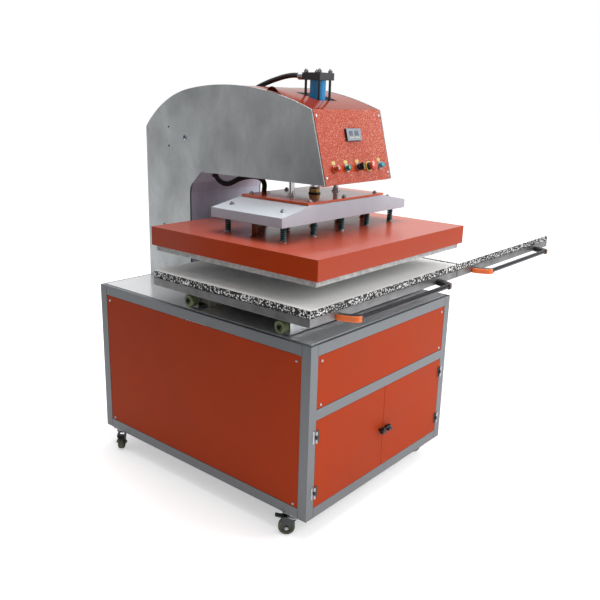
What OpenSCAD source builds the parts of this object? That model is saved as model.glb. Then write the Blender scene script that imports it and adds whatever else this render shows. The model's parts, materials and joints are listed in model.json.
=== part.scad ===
// Large-format heat press with a hydraulic head and two lower platens on a side-to-side
// shuttle, standing on a steel cabinet with casters. Millimetres.
// Origin: floor level, middle of the cabinet's footprint. +X to the operator's right,
// +Y to the rear, +Z up. The operator stands at -Y.

/* [Cabinet] */
// Width of the cabinet
cab_w = 952; // [900:1:1000]
// Depth of the cabinet
cab_d = 1188; // [1150:1:1230]
// Height of the cabinet without its casters
cab_h = 667; // [640:1:700]
// Outer size of the square frame tube
tube = 40; // [36:1:44]
// Height of the opening behind the upper front panel
upper_h = 200; // [160:1:240]
// Height of the casters
caster_h = 90; // [86:1:96]
// Diameter of the caster wheels
wheel_d = 63; // [58:1:66]

/* [Platens] */
// Width of a lower platen and its pad
platen_w = 1000; // [960:1:1020]
// Depth of a lower platen and its pad
platen_d = 798; // [760:1:820]
// Height of a platen's underside above the table
platen_lift = 76; // [74:1:80]
// Height of an aluminium platen
platen_h = 30; // [26:1:34]
// Thickness of a silicone foam pad with its sheet
pad_h = 30; // [24:1:34]
// Distance between the two platens' centres, which is the shuttle's travel
pitch = 1005; // [1004:1:1020]
// Distance between the middles of the two slide channels
channel_gap = 473; // [440:1:490]

/* [Head] */
// Distance between the two side plates
head_w = 419; // [400:1:440]
// Thickness of a side plate
side_t = 8; // [6:1:10]
// Distance of the pressing axis behind the cabinet's front face
press_y = 390; // [385:1:395]
// Height of the head's underside above the table
throat_h = 503; // [500:1:510]
// Outer diameter of the hydraulic cylinder's tube
cyl_d = 62; // [58:1:66]
// Side of the cylinder's square end blocks
block_s = 88; // [84:1:92]

/* [Upper platen] */
// Travel of the upper platen between open and closed
stroke = 75; // [70:1:75]
// Width of the heating plate
heater_w = 957; // [930:1:965]
// Depth of the heating plate
heater_d = 806; // [780:1:812]
// Width of the heater's cover
cover_w = 981; // [976:1:990]
// Depth of the heater's cover
cover_d = 835; // [830:1:850]
// Height of the heater's cover
cover_h = 73; // [66:1:76]
// Width of the pressing beam
beam_w = 792; // [760:1:820]
// Depth of the pressing beam
beam_d = 356; // [340:1:370]

/* [Hidden] */
$fn = 48;

// Working clearances
fit = 0.05;                         // a shaft in its bore, on the radius
gap = 0.5;                          // between plain faces that slide or swing past each other

// Reference planes
front = -cab_d / 2;                 // cabinet front face
rear = cab_d / 2;                   // cabinet rear face
tbl = caster_h + cab_h;             // top of the cabinet frame
table_t = 2;                        // table plate
py = front + press_y;               // pressing axis
sheet = 1.5;                        // sheet-metal panels
inset = 1.5;                        // gap between a panel and the frame around it

// Heights of the shuttle and the upper platen, open
platen_z = tbl + platen_lift;
pad_z = platen_z + platen_h;
pad_top = pad_z + pad_h;
shut_gap = 0.4;                     // left between pad and heating plate at the end of the stroke
plate_z = pad_top + stroke + shut_gap;
plate_h = 22;
cover_z = plate_z + plate_h;
cover_top = cover_z + cover_h;
beam_z = cover_top + 59;
beam_end_h = 35;                    // height of the beam's outer ends
beam_h = 65;                        // height of its flat middle
flat_w = 466;                       // width of the flat middle
ram_z = beam_z + beam_h;            // underside of the ram plate
ram_t = 8;
head_z = tbl + throat_h;            // underside of the head

// Upright tube or bar helpers
module box(x0, x1, y0, y1, z0, z1)
    translate([x0, y0, z0]) cube([x1 - x0, y1 - y0, z1 - z0]);
module rod(x, y, z0, z1, r)
    translate([x, y, z0]) cylinder(r = r, h = z1 - z0);
module hex(x, y, z0, z1, af)
    translate([x, y, z0]) cylinder(r = af / 2 / cos(30), h = z1 - z0, $fn = 6);
// a profile drawn in (y, z) and run along X from x0 to x1
module along_x(x0, x1)
    translate([x0, 0, 0]) rotate([90, 0, 90]) linear_extrude(x1 - x0) children();
// a profile drawn in (x, z) and run along Y from y0 to y1
module along_y(y0, y1)
    translate([0, y1, 0]) rotate([90, 0, 0]) linear_extrude(y1 - y0) children();
function arc(c, r, a0, a1, n) =
    [for (i = [0 : n]) let (a = a0 + (a1 - a0) * i / n) [c[0] + r * cos(a), c[1] + r * sin(a)]];

// ---------------------------------------------------------------- cabinet

weld = 0.2;                         // each tube is cut short of its neighbour by the weld gap
wall = 2;                           // wall of the square tube

// a square tube along one axis (0, 1 or 2), open at its low end and, without a cap, at the other
module square_tube(p, len, axis, cap = 0) {
    size = [for (i = [0 : 2]) i == axis ? len : tube];
    hole = [for (i = [0 : 2]) i == axis ? len + (cap > 0 ? 1 - cap : 2) : tube - 2 * wall];
    off = [for (i = [0 : 2]) i == axis ? -1 : wall];
    translate(p) difference() {
        cube(size);
        translate(off) cube(hole);
    }
}

mid_z = tbl - tube - upper_h - tube;   // underside of the front rail between panel and doors

module cabinet_frame() color("slategray") {
    long_y = cab_d - 2 * tube - 2 * weld;
    long_x = cab_w - 2 * tube - 2 * weld;
    for (x = [-cab_w / 2, cab_w / 2 - tube], y = [front, rear - tube])
        square_tube([x, y, caster_h], cab_h, 2, 3);
    for (x = [-cab_w / 2, cab_w / 2 - tube], z = [caster_h, tbl - tube])
        square_tube([x, front + tube + weld, z], long_y, 1);
    for (y = [front, rear - tube], z = [caster_h, tbl - tube])
        square_tube([-cab_w / 2 + tube + weld, y, z], long_x, 0);
    square_tube([-cab_w / 2 + tube + weld, front, mid_z], long_x, 0);
}

module side_panel()
    box(cab_w / 2 - 1 - sheet, cab_w / 2 - 1, front + tube + inset, rear - tube - inset,
        caster_h + tube + inset, tbl - tube - inset);

gland_x = -300;                     // mains inlet in the rear panel
gland_z = caster_h + 120;
gland_r = 12.5;                     // radius of the inlet hole

module rear_panel() difference() {
    box(-cab_w / 2 + tube + inset, cab_w / 2 - tube - inset, rear - 1 - sheet, rear - 1,
        caster_h + tube + inset, tbl - tube - inset);
    translate([gland_x, rear + 1, gland_z]) rotate([90, 0, 0]) cylinder(r = gland_r, h = 6);
    for (x = [-150 : 20 : 150])
        translate([x - 4, rear - 5, caster_h + 330]) cube([8, 6, 90]);
}

module front_panel()
    box(-cab_w / 2 + tube + inset, cab_w / 2 - tube - inset, front + 1, front + 1 + sheet,
        tbl - tube - upper_h + inset, tbl - tube - inset);

module cabinet_panels() color("orangered") {
    side_panel();
    mirror([1, 0, 0]) side_panel();
    rear_panel();
    front_panel();
}

module floor_shelf() color("dimgray")
    box(-cab_w / 2 + 3, cab_w / 2 - 3, front + tube, rear - tube,
        caster_h + tube, caster_h + tube + 2);

hose_y = front + 990;               // the hoses drop through the table inside the column

module table_top() color("silver") difference() {
    box(-cab_w / 2 + 18, cab_w / 2 - 18, front + 16, rear - 16, tbl, tbl + table_t);
    translate([-80, hose_y - 30, tbl - 1]) cube([160, 60, table_t + 2]);
}

// ---------------------------------------------------------------- doors

door_z0 = caster_h + tube + inset;
door_z1 = mid_z - inset;
door_t = 16;                        // depth of the folded door tray
hinge_x = cab_w / 2 - tube - 0.5;   // hinge pin, left and right of the middle
hinge_y = front - 4;
hinge_z = [caster_h + 81, caster_h + 302];
hinge_h = 46;
pin_r = 2;
knuckle_r = 4;
knob_x = 21;
knob_z = caster_h + 206;

module door_tray() color("orangered") difference() {
    box(1, cab_w / 2 - tube - inset, front + 0.2, front + door_t, door_z0, door_z1);
    box(1 + sheet, cab_w / 2 - tube - inset - sheet, front + 0.2 + sheet, front + door_t + 1,
        door_z0 + sheet, door_z1 - sheet);
}
module right_door() door_tray();
module left_door() mirror([1, 0, 0]) door_tray();

// the leaf on the post, with the outer knuckles and the pin
module frame_leaf(z) {
    third = hinge_h / 3;
    translate([0, 0, z]) {
        box(hinge_x + knuckle_r + gap, hinge_x + 18, front - 1.6, front, 0, hinge_h);
        for (k = [0, 2]) {
            box(hinge_x, hinge_x + 8, front - 1.6, front, k * third + 0.2, (k + 1) * third - 0.2);
            rod(hinge_x, hinge_y, k * third + 0.2, (k + 1) * third - 0.2, knuckle_r);
        }
        rod(hinge_x, hinge_y, 1, hinge_h - 1, pin_r);
    }
}
module frame_hinge_leaves() color("silver")
    for (z = hinge_z) {
        frame_leaf(z);
        mirror([1, 0, 0]) frame_leaf(z);
    }

// the leaf on the door, with the middle knuckle
module door_leaf(z) {
    third = hinge_h / 3;
    translate([0, 0, z]) difference() {
        union() {
            box(hinge_x - 18, hinge_x - knuckle_r - gap, front - 1.4, front + 0.2, 0, hinge_h);
            box(hinge_x - 8, hinge_x, front - 1.4, front + 0.2, third + 0.2, 2 * third - 0.2);
            rod(hinge_x, hinge_y, third + 0.2, 2 * third - 0.2, knuckle_r);
        }
        rod(hinge_x, hinge_y, third - 1, 2 * third + 1, pin_r + fit);
    }
}
// three-lobed pull knob on a short neck
lobes = [for (i = [0 : 47]) let (a = i * 7.5, r = 12 + 3.4 * cos(3 * (a - 90)))
    [r * cos(a), r * sin(a)]];
module pull_knob() translate([knob_x, front, knob_z]) rotate([90, 0, 0]) {
    translate([0, 0, -0.2]) cylinder(r = 7, h = 10.7);
    translate([0, 0, 10]) linear_extrude(14) polygon(lobes);
}
module door_fittings() color("dimgray") {
    for (z = hinge_z) door_leaf(z);
    pull_knob();
}
module right_door_fittings() door_fittings();
module left_door_fittings() mirror([1, 0, 0]) door_fittings();

// ---------------------------------------------------------------- casters

caster_in = 28;                     // swivel axis, in from the cabinet's side
caster_end = 77;                    // swivel axis, in from the cabinet's front or rear
trail = 28;                         // wheel axle behind the swivel axis
wheel_r = wheel_d / 2;
wheel_w = 24;
axle_r = 4;
fork_top = caster_h - 12.4;         // top of the fork's crown
pedal_x = -42;                      // pin of the brake pedal, behind the crown
pedal_z = fork_top - 8;
casters = [
    [-cab_w / 2 + caster_in, front + caster_end, -50],
    [cab_w / 2 - caster_in, front + caster_end, -28],
    [-cab_w / 2 + caster_in, rear - caster_end, 40],
    [cab_w / 2 - caster_in, rear - caster_end, 62]
];
module at_caster(i) translate([casters[i][0], casters[i][1], 0]) rotate(casters[i][2]) children();

module caster_plates() color("silver")
    for (c = casters) translate([c[0], c[1], 0]) {
        box(-26, 26, -37, 37, caster_h - 4, caster_h);
        rod(0, 0, caster_h - 12, caster_h - 3, 22);
        rod(0, 0, fork_top - 5, caster_h - 10, 5);
        rod(0, 0, fork_top - 9, fork_top - 4.6, 9);
        for (x = [-19, 19], y = [-29, 29]) hex(x, y, caster_h - 9, caster_h - 3.9, 12);
    }

module fork() color("dimgray") {
    difference() {
        union() {
            rod(0, 0, fork_top - 4, fork_top, 24);
            for (s = [-1, 1]) translate([0, s > 0 ? 15.9 : -13.4, 0]) rotate([90, 0, 0])
                linear_extrude(2.5) polygon([
                    [16, fork_top], [-16, fork_top], [-46, fork_top - 4], [-46, fork_top - 12],
                    [-trail - 9, wheel_r - 2], [-trail - 5, wheel_r - 9], [-trail + 5, wheel_r - 9],
                    [-trail + 9, wheel_r - 2]
                ]);
        }
        rod(0, 0, fork_top - 6, fork_top + 1, 5 + fit);
    }
    translate([-trail, 18.6, wheel_r]) rotate([90, 0, 0]) cylinder(r = axle_r, h = 37.2);
    for (y = [18.6, -15.9]) translate([-trail, y, wheel_r]) rotate([90, 0, 0])
        cylinder(r = 7, h = 2.7);
    // pin of the brake pedal
    translate([pedal_x, 13.4, pedal_z]) rotate([90, 0, 0]) cylinder(r = pin_r, h = 26.8);
}
// brake pedal: an eye on the pin and a tread plate that slopes up and away from the fork
module brake() color("dimgray") difference() {
    translate([pedal_x, 11, pedal_z]) rotate([90, 0, 0]) linear_extrude(22) union() {
        circle(r = 4.5);
        polygon([[-1, 4.4], [-28, 9.5], [-30, 6], [-3, -2]]);
    }
    translate([pedal_x, 14, pedal_z]) rotate([90, 0, 0]) cylinder(r = pin_r + fit, h = 28);
}
module wheel() color("darkolivegreen")
    translate([-trail, 0, wheel_r]) rotate([90, 0, 0]) rotate_extrude() polygon([
        [axle_r + fit, -wheel_w / 2 - 1], [10, -wheel_w / 2 - 1], [10, -7], [wheel_r - 11, -7],
        [wheel_r - 11, -wheel_w / 2 + 2], [wheel_r - 3, -wheel_w / 2], [wheel_r, -wheel_w / 2 + 3],
        [wheel_r, wheel_w / 2 - 3], [wheel_r - 3, wheel_w / 2], [wheel_r - 11, wheel_w / 2 - 2],
        [wheel_r - 11, 7], [10, 7], [10, wheel_w / 2 + 1], [axle_r + fit, wheel_w / 2 + 1]
    ]);

// ---------------------------------------------------------------- shuttle

shuttle_x0 = -platen_w / 2;         // left edge of the first platen, right edge of the second
shuttle_x1 = pitch + platen_w / 2;
channel_w = 55;
channel_in = 66;                    // end of a channel, in from the platens' outer edges
channel_t = 4;
channel_z = tbl + table_t + 3;      // underside of the channels, clear of the table
channel_y = [py - channel_gap / 2, py + channel_gap / 2];
buffer_r = 25;
buffer_h = 27;
end_t = 5;

// C profile with its back towards +Y
module channel_profile() difference() {
    translate([-channel_w / 2, channel_z]) square([channel_w, platen_z - channel_z]);
    translate([-channel_w / 2 - 1, channel_z + channel_t])
        square([channel_w - channel_t + 1, platen_z - channel_z - 2 * channel_t]);
}
module one_channel() {
    along_x(shuttle_x0 + channel_in, shuttle_x1 - channel_in) channel_profile();
    for (x = [shuttle_x0 + channel_in - end_t, shuttle_x1 - channel_in])
        box(x, x + end_t, -channel_w / 2, channel_w / 2, channel_z, platen_z - 1);
}
// the two channels face each other, with a cross tie near each end
module slide_channels() color("gainsboro") {
    translate([0, channel_y[1], 0]) one_channel();
    translate([0, channel_y[0], 0]) mirror([0, 1, 0]) one_channel();
    for (x = [-platen_w / 2 + 120, platen_w / 2 - 40, pitch - platen_w / 2 + 40, shuttle_x1 - 120])
        box(x - 25, x + 25, channel_y[0] + channel_w / 2 - 1, channel_y[1] - channel_w / 2 + 1,
            platen_z - channel_t, platen_z);
}

// urethane buffers on the channels' ends, axis along X
module end_buffers() color("olivedrab")
    for (y = channel_y, s = [0, 1]) {
        x0 = s == 0 ? shuttle_x0 + channel_in - end_t : shuttle_x1 - channel_in + end_t;
        translate([x0, y, channel_z + 30]) rotate([0, s == 0 ? -90 : 90, 0]) rotate_extrude()
            polygon([[0, 0], [buffer_r - 2, 0], [buffer_r, 2], [buffer_r, buffer_h - 3],
                [buffer_r - 3, buffer_h], [14, buffer_h], [14, buffer_h - 3], [7, buffer_h - 3],
                [7, buffer_h + 3], [0, buffer_h + 3]]);
    }

// plain-bearing blocks fixed to the table, each reaching into a channel from its open side
block_x = [-340, 0, 340];
module slide_block() {
    top = platen_z - channel_t - 0.4;
    along_x(-55, 55) polygon([
        [-channel_w / 2 + 2, channel_z + channel_t + 4], [channel_w / 2 - channel_t - gap,
        channel_z + channel_t + 4], [channel_w / 2 - channel_t - gap, top],
        [-channel_w / 2 - 4, top], [-channel_w / 2 - 4, top - 8], [-channel_w / 2 - 24, tbl + 12],
        [-channel_w / 2 - 24, tbl + table_t], [-channel_w / 2 - 4, tbl + table_t],
        [-channel_w / 2 - 4, channel_z + channel_t + 4]
    ]);
}
module slide_blocks() color("ivory")
    for (x = block_x) translate([x, 0, 0]) {
        translate([0, channel_y[1], 0]) slide_block();
        translate([0, channel_y[0], 0]) mirror([0, 1, 0]) slide_block();
    }

// aluminium platen: a plate with a deep rim and ribs underneath
platen_skin = 6;
module platen(x) {
    y0 = py - platen_d / 2;
    difference() {
        box(x - platen_w / 2, x + platen_w / 2, y0, y0 + platen_d, platen_z, pad_z);
        for (i = [0 : 3]) {
            w = (platen_w - 5 * 20) / 4;
            px = x - platen_w / 2 + 20 + i * (w + 20);
            for (y = [[y0 + 20, channel_y[0] - 45], [channel_y[0] + 45, channel_y[1] - 45],
                      [channel_y[1] + 45, y0 + platen_d - 20]])
                box(px, px + w, y[0], y[1], platen_z - 1, pad_z - platen_skin);
        }
    }
}
module platens() color("silver") {
    platen(0);
    platen(pitch);
}
module pads() color("whitesmoke")
    for (x = [0, pitch])
        box(x - platen_w / 2, x + platen_w / 2, py - platen_d / 2, py + platen_d / 2,
            pad_z, pad_top);

// a grip bar in front of each platen, held by a moulded arm at each end; the arms lean inwards
grip_half = 318;                    // half the bar's length
grip_y = py - platen_d / 2 - 65;    // middle of the bar
grip_z = platen_z + 8;
grip_r = 10;
module handle_bars() color("dimgray")
    for (x = [0, pitch])
        translate([x - grip_half, grip_y, grip_z]) rotate([0, 90, 0])
            cylinder(r = grip_r, h = 2 * grip_half);
arm = [[328, 65], [357, 65], [356, 52], [348, 30], [338, 6], [332, -6], [324, -11.5],
       [312, -12.5], [302, -12.5], [299, -7], [299, 10], [308, 22], [320, 42], [326, 54]];
module bracket() difference() {
    translate([0, grip_y, grip_z - 12]) linear_extrude(23) polygon(arm);
    translate([290, grip_y, grip_z]) rotate([0, 90, 0])
        cylinder(r = grip_r + fit, h = grip_half - 290);
}
module handle_brackets() color("darkorange")
    for (x = [0, pitch]) translate([x, 0, 0]) {
        bracket();
        mirror([1, 0, 0]) bracket();
    }

// ---------------------------------------------------------------- head and column

// Side-plate outline in (distance behind the cabinet's front, height above the table).
// Two tangent arcs make the crest; the throat is a corner cut between column and head.
crest = [680, -378];
crest_r = 1225;
crest_to = 80.25;                   // angle where the crest turns into the rear shoulder
shoulder_r = 473;
shoulder = crest + (crest_r - shoulder_r) * [cos(crest_to), sin(crest_to)];
nose_top_y = 243;
nose_low_y = 171;
column_y = 889;                     // front edge of the column
back_y = 1168;                      // rear edge of the column
throat_y = 817;                     // end of the head's flat underside
crest_from = 180 - acos((crest[0] - nose_top_y) / crest_r);
shoulder_end = acos((back_y - shoulder[0]) / shoulder_r);
nose_top_z = crest[1] + crest_r * sin(crest_from);
function to_part(points) = [for (p = points) [p[0] + front, p[1] + tbl]];

module side_plate() difference() {
    along_x(head_w / 2, head_w / 2 + side_t) polygon(to_part(concat(
        [[column_y, table_t], [column_y, 405], [column_y - 4, 432], [column_y - 15, 448],
         [throat_y, throat_h - 3], [nose_low_y, throat_h]],
        arc(crest, crest_r, crest_from, crest_to, 28),
        arc(shoulder, shoulder_r, crest_to - 2.5, shoulder_end, 16),
        [[back_y, table_t]]
    )));
    for (h = [[1018, 672, 5], [1018, 594, 5], [915, 634, 11], [1061, 251, 5]])
        translate([head_w / 2 - 1, front + h[0], tbl + h[1]]) rotate([0, 90, 0])
            cylinder(r = h[2], h = side_t + 2);
}
module side_plates() color("darkgray") {
    side_plate();
    mirror([1, 0, 0]) side_plate();
}

base_t = 20;                        // plate that carries the cylinder and the guide bushes
guide_x = 141;
guide_r = 11;
rod_r = 16;
bush_r = 20;
half = head_w / 2;
module head_base_plate() color("gray") difference() {
    union() {
        box(-half, half, py - 175, py + 175, head_z, head_z + base_t);
        for (s = [-1, 1]) rod(s * guide_x, py, head_z - 8, head_z + 45, bush_r);
    }
    for (s = [-1, 1]) rod(s * guide_x, py, head_z - 9, head_z + 46, guide_r + fit);
    rod(0, py, head_z - 1, head_z + base_t + 1, rod_r + 4);
}

// front cover of the column with the sloping corner and the rear part of the underside,
// and the rear cover that follows the back and the shoulder
cover_t = 2;
module column_covers() color("lightsteelblue") {
    difference() {
        along_x(-half, half) polygon(to_part([
            [column_y, table_t], [column_y, 405], [column_y - 15, 448],
            [throat_y - 12, throat_h + 8], [press_y + 176, throat_h + 8],
            [press_y + 176, throat_h + 10], [throat_y - 11, throat_h + 10],
            [column_y - 13, 449.5], [column_y + cover_t, 406],
            [column_y + cover_t, table_t]
        ]));
        translate([conduit_x0, front + conduit_exit[0], tbl + conduit_exit[1]])
            rotate([137.6, 0, 0]) cylinder(r = 13, h = 30, center = true);
    }
    along_x(-half, half) polygon(to_part(concat(
        [[back_y, table_t]],
        [for (i = [0 : 12]) let (a = shoulder_end + i * (74 - shoulder_end) / 12)
            shoulder + shoulder_r * [cos(a), sin(a)]],
        [for (i = [12 : -1 : 0]) let (a = shoulder_end + i * (74 - shoulder_end) / 12)
            shoulder + (shoulder_r - cover_t) * [cos(a), sin(a)]],
        [[back_y - cover_t, table_t]]
    )));
}

// orange top cover on the crest, cut out round the cylinder
cover_end = 91.5;                     // angle of its rear edge on the crest arc
cut_w = 120;
module top_cover() color("orangered") difference() {
    along_x(-half, half) polygon(to_part(concat(
        arc(crest, crest_r - 1, crest_from - 0.05, cover_end, 20),
        arc(crest, crest_r - 1 - cover_t, cover_end, crest_from - 0.05, 20)
    )));
    box(-cut_w / 2, cut_w / 2, py - 52, py + 62, head_z + 150, head_z + 400);
}

// the sloping control panel; panel_frame() puts x across it, y up it and z out of it
nose_run = nose_top_y - nose_low_y;
nose_rise = nose_top_z - throat_h;
nose_len = norm([nose_run, nose_rise]);
nose_tilt = atan2(nose_rise, nose_run);
panel_t = 2;
module panel_frame()
    translate([0, front + nose_low_y, head_z]) rotate([nose_tilt, 0, 0]) children();

button_y = 56;
button_dx = 72.5;
button_x = [for (i = [-2 : 2]) i * button_dx];   // lamp, green, selector, stop, teal
display_y = 178;
module control_panel() color("orangered") panel_frame() difference() {
    union() {
        translate([-half, 0, 0]) cube([head_w, nose_len, panel_t]);
        translate([-half, 0, -22]) cube([head_w, panel_t, 23]);
    }
    for (x = button_x) translate([x, button_y, -1]) cylinder(r = 11.2, h = panel_t + 2);
    translate([-43, display_y - 20.5, -1]) cube([86, 41, panel_t + 2]);
}

// panel meter in its cut-out: bezel in front, case behind
module display() color("lightslategray") panel_frame() {
    translate([-45, display_y - 22.5, panel_t]) cube([90, 45, 9]);
    translate([-42.5, display_y - 20, -60]) cube([85, 40, 60 + panel_t]);
}

// pilot lamp with its own collar
collar_r = 14.5;
module indicator_lamp() color("firebrick") panel_frame() translate([button_x[0], button_y, 0]) {
    translate([0, 0, panel_t]) rotate_extrude() polygon([
        [0, 0], [collar_r, 0], [collar_r, 4], [13, 6], [10.5, 6], [11, 12], [11, 23], [8, 27], [0, 28]]);
    translate([0, 0, -30]) cylinder(r = 11, h = 30 + panel_t);
}

// collars, threaded necks and contact blocks of the four operators
module button_collars() color("silver") panel_frame()
    for (i = [1 : 4]) translate([button_x[i], button_y, 0]) difference() {
        union() {
            translate([0, 0, panel_t]) cylinder(r = collar_r, h = i == 3 ? 8 : 6);
            translate([0, 0, -12]) cylinder(r = 11, h = 12 + panel_t);
            translate([-14, -17, -44]) cube([28, 34, 32]);
        }
        translate([0, 0, -13]) cylinder(r = 8 + fit, h = 30);
        translate([0, 0, panel_t + 2]) cylinder(r = 11, h = 9);
    }

// an operator on its stem; the caps differ
module operator(i) panel_frame() translate([button_x[i], button_y, 0]) {
    translate([0, 0, -8]) cylinder(r = 8, h = panel_t + 14);
    children();
}
button_travel = 3;
cap_z = panel_t + 2 + button_travel + 0.5;
module push_cap() translate([0, 0, cap_z]) rotate_extrude()
    polygon([[0, 0], [10.5, 0], [10.5, 14], [9.5, 15.4], [0, 16]]);
module green_button() color("seagreen") operator(1) push_cap();
module teal_button() color("mediumturquoise") operator(4) push_cap();
module selector_knob() color("black") operator(2) {
    translate([0, 0, panel_t + 6.5]) cylinder(r = 13.5, h = 11);
    translate([-4.5, -13, panel_t + 17]) cube([9, 26, 14]);
}
module estop_button() color("red") operator(3) {
    translate([0, 0, panel_t + 4]) cylinder(r = 8, h = 14);
    translate([0, 0, panel_t + 8 + button_travel + 4]) rotate_extrude() polygon([
        [0, 0], [12, 0], [17, 5], [19.5, 9], [19.5, 13], [17, 16], [9, 18], [0, 18.4]]);
}

// ---------------------------------------------------------------- hydraulics

cyl_z0 = head_z + base_t;
block_h = 27;
cyl_top = tbl + 899;                // top of the upper end block
bore_r = cyl_d / 2 - 6;
tie_in = 11;
module cylinder_tube() color("dodgerblue") difference() {
    rod(0, py, cyl_z0 + block_h, cyl_top - block_h, cyl_d / 2);
    rod(0, py, cyl_z0 + block_h - 1, cyl_top - block_h + 1, bore_r);
}
module cylinder_ends() color("dimgray") {
    tie = block_s / 2 - tie_in;
    difference() {
        box(-block_s / 2, block_s / 2, py - block_s / 2, py + block_s / 2,
            cyl_z0, cyl_z0 + block_h);
        rod(0, py, cyl_z0 - 1, cyl_z0 + block_h + 1, rod_r + fit);
    }
    box(-block_s / 2, block_s / 2, py - block_s / 2, py + block_s / 2, cyl_top - block_h, cyl_top);
    for (x = [-tie, tie], y = [-tie, tie]) {
        rod(x, py + y, cyl_z0 + block_h, cyl_top - block_h, 5);
        hex(x, py + y, cyl_top, cyl_top + 9, 15);
        rod(x, py + y, cyl_top + 8, cyl_top + 14, 4.5);
    }
}

// hoses, swept along points given in (x, behind the front, above the table)
hose_r = 10;
upper_hose = [
    [0, 434, 886], [0, 450, 886], [0, 475, 887.5], [0, 502, 890], [0, 530, 889], [0, 565, 884],
    [0, 600, 876], [0, 635, 867], [0, 670, 856], [0, 705, 843], [2, 740, 827], [5, 775, 807],
    [9, 810, 782], [14, 845, 752], [19, 880, 716], [24, 912, 674], [28, 938, 626], [31, 957, 574],
    [33, 970, 518], [34, 978, 460], [34, 983, 390], [34, 986, 310], [34, 988, 230], [34, 990, 150],
    [34, 990, 70], [34, 990, 0], [34, 986, -60], [34, 974, -110], [34, 952, -150], [34, 925, -178],
    [34, 896, -197], [34, 866, -206], [34, 838, -206]
];
lower_hose = [
    [0, 434, 537], [0, 455, 537], [0, 500, 538], [-1, 560, 540], [-4, 630, 543], [-9, 700, 546],
    [-16, 770, 546], [-23, 830, 540], [-29, 880, 524], [-33, 922, 494], [-35, 953, 452],
    [-35, 972, 400], [-35, 981, 340], [-35, 986, 270], [-35, 989, 190], [-35, 990, 100],
    [-35, 990, 0], [-35, 986, -60], [-35, 974, -110], [-35, 952, -150], [-35, 925, -178],
    [-35, 896, -197], [-35, 866, -206], [-35, 838, -206]
];
function place(p) = [p[0], p[1] + front, p[2] + tbl];
// rings of n points round the path; each ring's plane halves the bend there
function sweep_points(path, r, n) = let (m = len(path)) [
    for (i = [0 : m - 1])
        let (d = path[min(i + 1, m - 1)] - path[max(i - 1, 0)], t = d / norm(d),
             u = cross([1, 0, 0], t) / norm(cross([1, 0, 0], t)), v = cross(t, u))
        for (k = [0 : n - 1]) path[i] + r * (cos(360 * k / n) * u + sin(360 * k / n) * v)
];
function sweep_faces(m, n) = concat(
    [[for (k = [0 : n - 1]) k], [for (k = [n - 1 : -1 : 0]) (m - 1) * n + k]],
    [for (i = [0 : m - 2], k = [0 : n - 1]) let (k2 = (k + 1) % n)
        [i * n + k2, i * n + k, (i + 1) * n + k, (i + 1) * n + k2]]
);
module sweep(path, r, n) {
    p = [for (q = path) place(q)];
    polyhedron(sweep_points(p, r, n), sweep_faces(len(p), n));
}
module hydraulic_hoses() color("black") {
    sweep(upper_hose, hose_r, 10);
    sweep(lower_hose, hose_r, 10);
}

// hydraulic power unit on the cabinet's floor: tank, and motor with pump and valves on its lid
tank_z = caster_h + tube + 2;
tank = [420, 300, 260];
tank_y = front + 560;
module oil_tank() color("royalblue") difference() {
    translate([-tank[0] / 2, tank_y, tank_z]) cube(tank);
    translate([-tank[0] / 2 + 3, tank_y + 3, tank_z + 3]) cube(tank - [6, 6, 7]);
}
module pump_unit() color("dimgray") {
    top = tank_z + tank[2];
    motor_y = tank_y + 110;
    translate([-150, motor_y, top + 78]) rotate([0, 90, 0]) cylinder(r = 70, h = 200);
    box(-110, 10, motor_y - 45, motor_y + 45, top, top + 30);
    translate([50, motor_y, top + 78]) rotate([0, 90, 0]) cylinder(r = 40, h = 60);
    box(110, 170, motor_y - 30, motor_y + 30, top, top + 115);
    box(-50, 50, front + 790, front + 838, top, tbl - 180);
}
module electrics_box() color("lightgray")
    box(-cab_w / 2 + 60, -cab_w / 2 + 240, rear - 420, rear - 60, tank_z, tank_z + 300);

conduit_x0 = -124;                  // the heater's conduit leaves the column here
conduit_exit = [834, 484];
module cable_glands() color("black") {
    translate([gland_x, rear + 22, gland_z]) rotate([90, 0, 0]) difference() {
        union() {
            cylinder(r = 12, h = 40);
            cylinder(r = 15.5, h = 14);
            translate([0, 0, 17]) cylinder(r = 17, h = 5.9);
        }
        translate([0, 0, -1]) cylinder(r = 7, h = 42);
    }
    translate([conduit_x0, front + conduit_exit[0], tbl + conduit_exit[1]]) rotate([137.6, 0, 0])
        translate([0, 0, -14]) difference() {
            union() {
                cylinder(r = 12.8, h = 19);
                translate([0, 0, 16]) cylinder(r = 15, h = 3);
            }
            translate([0, 0, 12]) cylinder(r = 11.3, h = 30);
        }
}

// ---------------------------------------------------------------- upper platen assembly

piston_top = cyl_top - block_h - 30;
module piston_rod() color("gainsboro") {
    rod(0, py, ram_z + ram_t, piston_top, rod_r);
    rod(0, py, piston_top - 40, piston_top, bore_r - fit);
}
nut_z = ram_z + ram_t;
module piston_nuts() color("goldenrod") difference() {
    union() {
        rod(0, py, nut_z, nut_z + 5, 24);
        hex(0, py, nut_z + 4, nut_z + 20, 37);
    }
    rod(0, py, nut_z - 1, nut_z + 21, rod_r + fit);
}
module guide_rods() color("gainsboro")
    for (s = [-1, 1]) {
        rod(s * guide_x, py, nut_z, head_z + 250, guide_r);
        rod(s * guide_x, py, nut_z, nut_z + 5, 18);
        rod(s * guide_x, py, nut_z + 4, nut_z + 12, 14.5);
    }
ram_w = 490;
ram_d = 336;
module ram_plate() color("orangered")
    box(-ram_w / 2, ram_w / 2, py - ram_d / 2, py + ram_d / 2, ram_z, ram_z + ram_t);

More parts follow.
